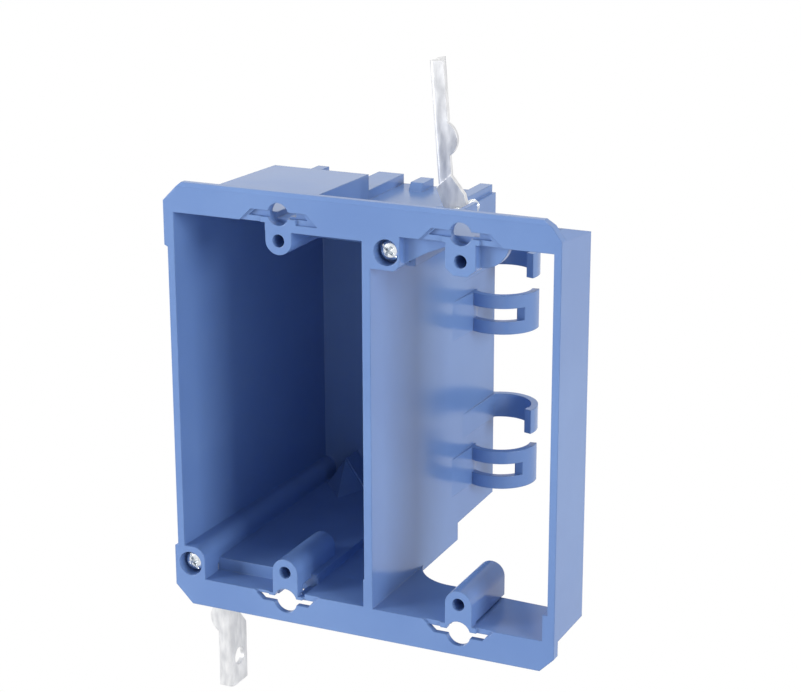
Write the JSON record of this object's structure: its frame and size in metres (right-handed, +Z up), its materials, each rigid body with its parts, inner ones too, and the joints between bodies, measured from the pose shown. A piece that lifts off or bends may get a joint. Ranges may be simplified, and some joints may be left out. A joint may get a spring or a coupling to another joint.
{
  "type": "drywall back box",
  "caption": "Retrofit wall box with a closed power compartment, an open low-voltage side with cable clips, and screw-drawn steel retainers that clamp it to the drywall.",
  "frame": {"origin": "centre of the four device screw holes, in the plane of the flange's rear face, which bears on the wall", "axes": "+X to the right seen from the front, +Y back into the wall, +Z up"},
  "size_m": [0.1014, 0.077, 0.1603],
  "materials": {
    "blue_plastic": "satin moulded",
    "zinc_steel": "zinc plated",
    "bare_steel": "rolled sheet"
  },
  "bodies": {
    "housing": {"box_body": "blue_plastic"},
    "top_screw": {"upper_screw": "zinc_steel"},
    "bottom_screw": {"lower_screw": "zinc_steel"},
    "top_arm": {"upper_retainer": "bare_steel"},
    "bottom_arm": {"lower_retainer": "bare_steel"}
  },
  "joints": [
    {"name": "top_arm_slide", "type": "slide", "parent": "housing", "child": "top_arm", "axis": [0, 1, 0], "range_m": [-0.0333, 0.0056]},
    {"name": "bottom_arm_slide", "type": "slide", "parent": "housing", "child": "bottom_arm", "axis": [0, 1, 0], "range_m": [-0.0017, 0.0372]},
    {"name": "top_screw_turn", "type": "hinge", "parent": "housing", "child": "top_screw", "pos_m": [0.0046, 0, 0.0418], "axis": [0, 1, 0], "range_deg": [-2545, 15110]},
    {"name": "bottom_screw_turn", "type": "hinge", "parent": "housing", "child": "bottom_screw", "pos_m": [-0.0496, 0, -0.0439], "axis": [0, 1, 0], "range_deg": [-16880, 780]}
  ],
  "couplings": [
    {"joint": "top_screw_turn", "follows": "top_arm_slide", "rad_per_m": -7915.8},
    {"joint": "bottom_screw_turn", "follows": "bottom_arm_slide", "rad_per_m": -7915.8}
  ]
}
